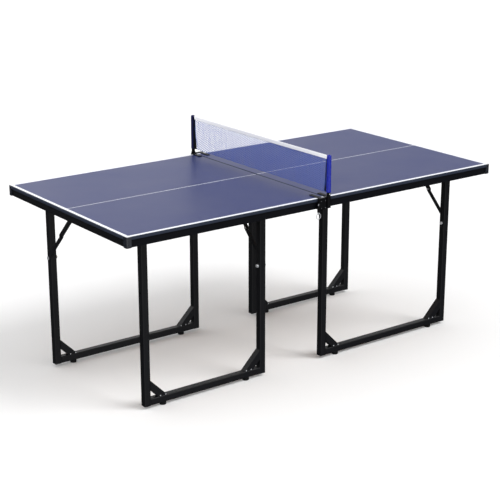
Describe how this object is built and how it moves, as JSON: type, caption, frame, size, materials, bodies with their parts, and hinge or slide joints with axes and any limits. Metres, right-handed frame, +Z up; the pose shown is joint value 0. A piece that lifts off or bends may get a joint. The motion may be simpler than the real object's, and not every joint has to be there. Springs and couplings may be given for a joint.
{
  "type": "ping pong table",
  "caption": "Mid-size folding ping pong table in two square halves, with U-frames that fold under each half on braces, and a lift-off net.",
  "frame": {"origin": "on the floor, below the middle of the seam between the two halves", "axes": "+X along the table, +Y across it to the far side, +Z up"},
  "size_m": [1.825, 0.959, 0.933],
  "materials": {
    "playing_surface": "satin blue-violet lacquer on medium-density board, with painted white lines",
    "black_steel": "black powder coat, semi-gloss",
    "black_edging": "extruded black plastic edging, satin",
    "black_plastic": "moulded black plastic",
    "zinc_steel": "bright zinc plating",
    "rubber": "black rubber",
    "net_mesh": "blue knotted mesh",
    "white_tape": "white woven tape",
    "blue_sleeve": "royal blue woven sleeve"
  },
  "bodies": {
    "left_half": {"left_board": "playing_surface", "left_apron_near": "black_edging", "left_apron_far": "black_edging", "left_apron_seam": "black_edging", "left_apron_end": "black_edging", "left_corner_caps": "black_plastic", "left_hinge_brackets": "black_steel", "left_hinge_pins": "zinc_steel", "near_net_bracket": "black_steel", "far_net_bracket": "black_steel"},
    "right_half": {"right_board": "playing_surface", "right_apron_near": "black_edging", "right_apron_far": "black_edging", "right_apron_seam": "black_edging", "right_apron_end": "black_edging", "right_corner_caps": "black_plastic", "right_hinge_brackets": "black_steel", "right_hinge_pins": "zinc_steel"},
    "near_right_frame": {"near_right_inner_leg": "black_steel", "near_right_outer_leg": "black_steel", "near_right_stretcher": "black_steel", "near_right_gussets": "black_steel", "near_right_feet": "rubber"},
    "near_right_lower_brace": {"near_right_lower_link": "black_steel", "near_right_brace_fasteners": "zinc_steel"},
    "near_right_upper_brace": {"near_right_upper_link": "black_steel"},
    "far_right_frame": {"far_right_inner_leg": "black_steel", "far_right_outer_leg": "black_steel", "far_right_stretcher": "black_steel", "far_right_gussets": "black_steel", "far_right_feet": "rubber"},
    "far_right_lower_brace": {"far_right_lower_link": "black_steel", "far_right_brace_fasteners": "zinc_steel"},
    "far_right_upper_brace": {"far_right_upper_link": "black_steel"},
    "far_left_frame": {"far_left_inner_leg": "black_steel", "far_left_outer_leg": "black_steel", "far_left_stretcher": "black_steel", "far_left_gussets": "black_steel", "far_left_feet": "rubber"},
    "far_left_lower_brace": {"far_left_lower_link": "black_steel", "far_left_brace_fasteners": "zinc_steel"},
    "far_left_upper_brace": {"far_left_upper_link": "black_steel"},
    "near_left_frame": {"near_left_inner_leg": "black_steel", "near_left_outer_leg": "black_steel", "near_left_stretcher": "black_steel", "near_left_gussets": "black_steel", "near_left_feet": "rubber"},
    "near_left_lower_brace": {"near_left_lower_link": "black_steel", "near_left_brace_fasteners": "zinc_steel"},
    "near_left_upper_brace": {"near_left_upper_link": "black_steel"},
    "net_set": {"net_mesh": "net_mesh", "net_tape": "white_tape", "near_net_post": "black_steel", "near_net_sleeve": "blue_sleeve", "far_net_post": "black_steel", "far_net_sleeve": "blue_sleeve"},
    "near_lock_pin": {"near_lock_pin": "zinc_steel"},
    "near_pull_ring": {"near_pull_ring": "zinc_steel"},
    "far_lock_pin": {"far_lock_pin": "zinc_steel"},
    "far_pull_ring": {"far_pull_ring": "zinc_steel"}
  },
  "joints": [
    {"name": "halves_apart", "type": "slide", "parent": "left_half", "child": "right_half", "axis": [1, 0, 0], "range_m": [0, 0.15]},
    {"name": "net_lift", "type": "slide", "parent": "left_half", "child": "net_set", "axis": [0, 0, 1], "range_m": [0, 0.05]},
    {"name": "near_right_fold", "type": "hinge", "parent": "right_half", "child": "near_right_frame", "pos_m": [0.471, -0.292, 0.722], "axis": [1, 0, 0], "range_deg": [0, 49.5]},
    {"name": "near_right_lower_brace_pivot", "type": "hinge", "parent": "near_right_frame", "child": "near_right_lower_brace", "pos_m": [0.832, -0.292, 0.475], "axis": [1, 0, 0], "range_deg": [0, 36.44]},
    {"name": "near_right_upper_brace_pivot", "type": "hinge", "parent": "right_half", "child": "near_right_upper_brace", "pos_m": [0.832, -0.045, 0.722], "axis": [1, 0, 0], "range_deg": [-36.44, 0]},
    {"name": "far_right_fold", "type": "hinge", "parent": "right_half", "child": "far_right_frame", "pos_m": [0.472, 0.292, 0.722], "axis": [-1, 0, 0], "range_deg": [0, 90]},
    {"name": "far_right_lower_brace_pivot", "type": "hinge", "parent": "far_right_frame", "child": "far_right_lower_brace", "pos_m": [0.182, 0.292, 0.475], "axis": [-1, 0, 0], "range_deg": [0, 45.5]},
    {"name": "far_right_upper_brace_pivot", "type": "hinge", "parent": "right_half", "child": "far_right_upper_brace", "pos_m": [0.182, 0.045, 0.722], "axis": [-1, 0, 0], "range_deg": [-45.5, 0]},
    {"name": "far_left_fold", "type": "hinge", "parent": "left_half", "child": "far_left_frame", "pos_m": [-0.471, 0.292, 0.722], "axis": [-1, 0, 0], "range_deg": [0, 49.5]},
    {"name": "far_left_lower_brace_pivot", "type": "hinge", "parent": "far_left_frame", "child": "far_left_lower_brace", "pos_m": [-0.832, 0.292, 0.475], "axis": [-1, 0, 0], "range_deg": [0, 36.44]},
    {"name": "far_left_upper_brace_pivot", "type": "hinge", "parent": "left_half", "child": "far_left_upper_brace", "pos_m": [-0.832, 0.045, 0.722], "axis": [-1, 0, 0], "range_deg": [-36.44, 0]},
    {"name": "near_left_fold", "type": "hinge", "parent": "left_half", "child": "near_left_frame", "pos_m": [-0.472, -0.292, 0.722], "axis": [1, 0, 0], "range_deg": [0, 90]},
    {"name": "near_left_lower_brace_pivot", "type": "hinge", "parent": "near_left_frame", "child": "near_left_lower_brace", "pos_m": [-0.182, -0.292, 0.475], "axis": [1, 0, 0], "range_deg": [0, 45.5]},
    {"name": "near_left_upper_brace_pivot", "type": "hinge", "parent": "left_half", "child": "near_left_upper_brace", "pos_m": [-0.182, -0.045, 0.722], "axis": [1, 0, 0], "range_deg": [-45.5, 0]},
    {"name": "near_lock_pin_pull", "type": "slide", "parent": "left_half", "child": "near_lock_pin", "axis": [0, 0, -1], "range_m": [0, 0.008], "stiffness_N_per_m": 600, "springref_m": -0.005},
    {"name": "near_pull_ring_swing", "type": "hinge", "parent": "near_lock_pin", "child": "near_pull_ring", "pos_m": [-0.044, -0.464, 0.702], "axis": [1, 0, 0], "range_deg": [-75, 75]},
    {"name": "far_lock_pin_pull", "type": "slide", "parent": "left_half", "child": "far_lock_pin", "axis": [0, 0, -1], "range_m": [0, 0.008], "stiffness_N_per_m": 600, "springref_m": -0.005},
    {"name": "far_pull_ring_swing", "type": "hinge", "parent": "far_lock_pin", "child": "far_pull_ring", "pos_m": [0.044, 0.464, 0.702], "axis": [1, 0, 0], "range_deg": [-75, 75]}
  ],
  "couplings": [
    {"joint": "near_right_lower_brace_pivot", "follows": "near_right_fold", "ratio": 0.72613},
    {"joint": "near_right_upper_brace_pivot", "follows": "near_right_fold", "ratio": -0.72613},
    {"joint": "far_right_lower_brace_pivot", "follows": "far_right_fold", "ratio": 0.5},
    {"joint": "far_right_upper_brace_pivot", "follows": "far_right_fold", "ratio": -0.5},
    {"joint": "far_left_lower_brace_pivot", "follows": "far_left_fold", "ratio": 0.72613},
    {"joint": "far_left_upper_brace_pivot", "follows": "far_left_fold", "ratio": -0.72613},
    {"joint": "near_left_lower_brace_pivot", "follows": "near_left_fold", "ratio": 0.5},
    {"joint": "near_left_upper_brace_pivot", "follows": "near_left_fold", "ratio": -0.5}
  ]
}
